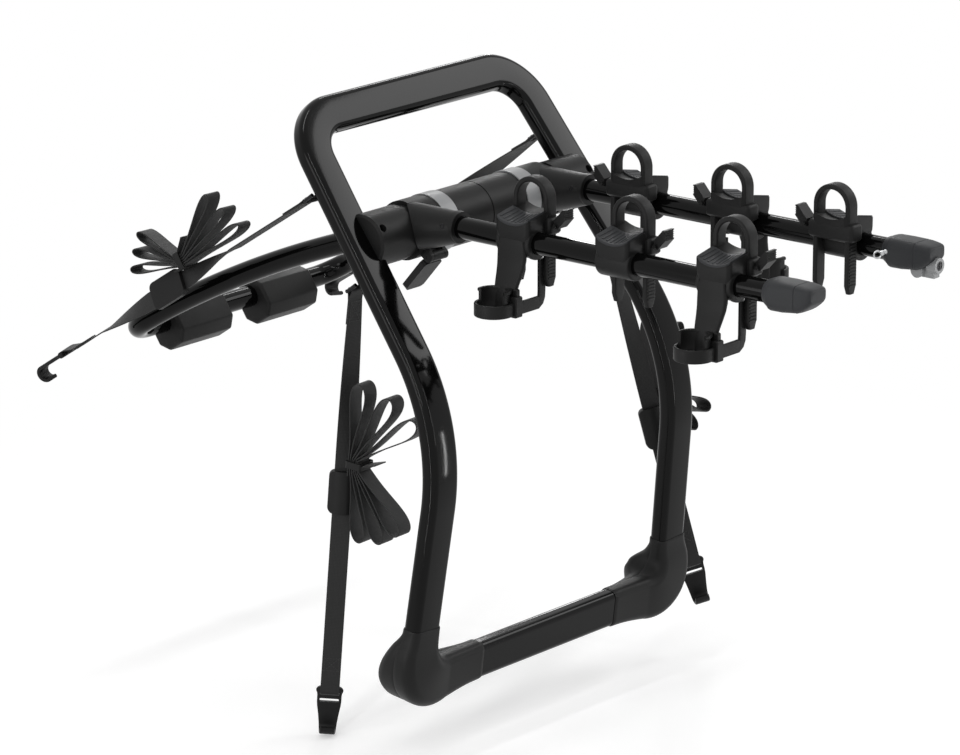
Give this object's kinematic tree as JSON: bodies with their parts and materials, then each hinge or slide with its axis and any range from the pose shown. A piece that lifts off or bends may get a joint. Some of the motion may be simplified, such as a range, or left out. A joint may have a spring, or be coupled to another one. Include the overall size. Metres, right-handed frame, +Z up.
{
  "type": "trunk mounted bike rack",
  "caption": "Trunk bike rack: bent hoop frame with feet, folding arms with strapped saddles and anti-sway cups, a folding leg with pads, and webbing straps with hooks.",
  "frame": {"origin": "middle of the hub, on the axis that the arms and the trunk leg turn about", "axes": "+X across the vehicle, +Y towards the vehicle, -Y out to the bikes, +Z up"},
  "size_m": [0.6716, 1.1853, 0.8267],
  "materials": {
    "black_paint": "gloss",
    "black_plastic": "satin",
    "grey_rubber": "matte",
    "black_rubber": "matte",
    "light_grey_plastic": "satin",
    "steel": "satin",
    "black_webbing": "woven"
  },
  "bodies": {
    "frame": {"frame_hoop": "black_paint", "lower_crossbar": "black_paint", "near_foot_boot": "black_plastic", "far_foot_boot": "black_plastic", "foot_pads": "grey_rubber", "near_hub_bracket": "black_plastic", "far_hub_bracket": "black_plastic", "hub_shaft": "steel", "strap_anchors": "steel", "near_upper_webbing": "black_webbing", "far_upper_webbing": "black_webbing", "near_lower_webbing": "black_webbing", "far_lower_webbing": "black_webbing", "strap_buckles": "black_plastic", "strap_hooks": "black_plastic"},
    "leg": {"leg_hoop": "black_paint", "leg_knuckles": "black_plastic"},
    "near_pad": {"near_trunk_pad": "grey_rubber"},
    "far_pad": {"far_trunk_pad": "grey_rubber"},
    "arms": {"near_arm_collar": "black_plastic", "far_arm_collar": "black_plastic", "hub_barrel": "black_plastic", "hub_rings": "light_grey_plastic", "near_arm_tube": "black_paint", "far_arm_tube": "black_paint", "near_arm_cap": "grey_rubber", "far_arm_cap": "grey_rubber", "lock_body": "light_grey_plastic"},
    "release": {"release_lever": "black_plastic"},
    "key": {"lock_core": "steel"},
    "near_cradle_1": {"near_cradle_1": "black_plastic", "near_saddle_pad_1": "grey_rubber", "near_cradle_strap_1": "black_rubber"},
    "near_ratchet_1": {"near_ratchet_1": "black_plastic"},
    "near_cradle_2": {"near_cradle_2": "black_plastic", "near_saddle_pad_2": "grey_rubber", "near_cradle_strap_2": "black_rubber"},
    "near_ratchet_2": {"near_ratchet_2": "black_plastic"},
    "near_cradle_3": {"near_cradle_3": "black_plastic", "near_saddle_pad_3": "grey_rubber", "near_cradle_strap_3": "black_rubber"},
    "near_ratchet_3": {"near_ratchet_3": "black_plastic"},
    "far_cradle_1": {"far_cradle_1": "black_plastic", "far_saddle_pad_1": "grey_rubber", "far_cradle_strap_1": "black_rubber"},
    "far_ratchet_1": {"far_ratchet_1": "black_plastic"},
    "far_cradle_2": {"far_cradle_2": "black_plastic", "far_saddle_pad_2": "grey_rubber", "far_cradle_strap_2": "black_rubber"},
    "far_ratchet_2": {"far_ratchet_2": "black_plastic"},
    "far_cradle_3": {"far_cradle_3": "black_plastic", "far_saddle_pad_3": "grey_rubber", "far_cradle_strap_3": "black_rubber"},
    "far_ratchet_3": {"far_ratchet_3": "black_plastic"},
    "near_sway_1": {"near_sway_drop_1": "black_plastic", "near_sway_strap_1": "black_rubber"},
    "near_sway_3": {"near_sway_drop_3": "black_plastic", "near_sway_strap_3": "black_rubber"},
    "far_sway_2": {"far_sway_drop_2": "black_plastic", "far_sway_strap_2": "black_rubber"}
  },
  "joints": [
    {"name": "arms_fold", "type": "hinge", "parent": "frame", "child": "arms", "pos_m": [0, 0, 0], "axis": [1, 0, 0], "range_deg": [0, 62]},
    {"name": "leg_fold", "type": "hinge", "parent": "frame", "child": "leg", "pos_m": [0, 0, 0], "axis": [1, 0, 0], "range_deg": [-35, 4]},
    {"name": "release_squeeze", "type": "hinge", "parent": "arms", "child": "release", "pos_m": [-0.113, -0.03585, -0.03116], "axis": [1, 0, 0], "range_deg": [0, 10], "stiffness_Nm_per_rad": 2, "springref_deg": -2.86},
    {"name": "key_turn", "type": "hinge", "parent": "arms", "child": "key", "pos_m": [0.13, -0.649, 0.009], "axis": [0, 1, 0], "range_deg": [0, 90]},
    {"name": "near_pad_tilt", "type": "hinge", "parent": "leg", "child": "near_pad", "pos_m": [-0.086, 0.42498, -0.19592], "axis": [1, 0, 0], "range_deg": [-15, 15]},
    {"name": "far_pad_tilt", "type": "hinge", "parent": "leg", "child": "far_pad", "pos_m": [0.086, 0.42498, -0.19592], "axis": [1, 0, 0], "range_deg": [-15, 15]},
    {"name": "near_cradle_1_slide", "type": "slide", "parent": "arms", "child": "near_cradle_1", "axis": [0, 1, 0], "range_m": [-0.018, 0.018]},
    {"name": "near_ratchet_1_lift", "type": "hinge", "parent": "near_cradle_1", "child": "near_ratchet_1", "pos_m": [-0.1056, -0.234, 0.04], "axis": [1, 0, 0], "range_deg": [0, 35], "stiffness_Nm_per_rad": 0.2, "springref_deg": -2.86},
    {"name": "near_cradle_2_slide", "type": "slide", "parent": "arms", "child": "near_cradle_2", "axis": [0, 1, 0], "range_m": [-0.018, 0.018]},
    {"name": "near_ratchet_2_lift", "type": "hinge", "parent": "near_cradle_2", "child": "near_ratchet_2", "pos_m": [-0.1056, -0.393, 0.04], "axis": [1, 0, 0], "range_deg": [0, 35], "stiffness_Nm_per_rad": 0.2, "springref_deg": -2.86},
    {"name": "near_cradle_3_slide", "type": "slide", "parent": "arms", "child": "near_cradle_3", "axis": [0, 1, 0], "range_m": [-0.01, 0.018]},
    {"name": "near_ratchet_3_lift", "type": "hinge", "parent": "near_cradle_3", "child": "near_ratchet_3", "pos_m": [-0.1056, -0.551, 0.04], "axis": [1, 0, 0], "range_deg": [0, 35], "stiffness_Nm_per_rad": 0.2, "springref_deg": -2.86},
    {"name": "far_cradle_1_slide", "type": "slide", "parent": "arms", "child": "far_cradle_1", "axis": [0, 1, 0], "range_m": [-0.018, 0.018]},
    {"name": "far_ratchet_1_lift", "type": "hinge", "parent": "far_cradle_1", "child": "far_ratchet_1", "pos_m": [0.1056, -0.14, 0.04], "axis": [-1, 0, 0], "range_deg": [0, 35], "stiffness_Nm_per_rad": 0.2, "springref_deg": -2.86},
    {"name": "far_cradle_2_slide", "type": "slide", "parent": "arms", "child": "far_cradle_2", "axis": [0, 1, 0], "range_m": [-0.018, 0.018]},
    {"name": "far_ratchet_2_lift", "type": "hinge", "parent": "far_cradle_2", "child": "far_ratchet_2", "pos_m": [0.1056, -0.303, 0.04], "axis": [-1, 0, 0], "range_deg": [0, 35], "stiffness_Nm_per_rad": 0.2, "springref_deg": -2.86},
    {"name": "far_cradle_3_slide", "type": "slide", "parent": "arms", "child": "far_cradle_3", "axis": [0, 1, 0], "range_m": [-0.018, 0.018]},
    {"name": "far_ratchet_3_lift", "type": "hinge", "parent": "far_cradle_3", "child": "far_ratchet_3", "pos_m": [0.1056, -0.465, 0.04], "axis": [-1, 0, 0], "range_deg": [0, 35], "stiffness_Nm_per_rad": 0.2, "springref_deg": -2.86},
    {"name": "near_sway_1_swing", "type": "hinge", "parent": "near_cradle_1", "child": "near_sway_1", "pos_m": [-0.13, -0.193, 0.018], "axis": [0, 1, 0], "range_deg": [-20, 2]},
    {"name": "near_sway_3_swing", "type": "hinge", "parent": "near_cradle_3", "child": "near_sway_3", "pos_m": [-0.13, -0.51, 0.018], "axis": [0, 1, 0], "range_deg": [-20, 2]},
    {"name": "far_sway_2_swing", "type": "hinge", "parent": "far_cradle_2", "child": "far_sway_2", "pos_m": [0.13, -0.344, 0.018], "axis": [0, -1, 0], "range_deg": [-20, 2]}
  ]
}
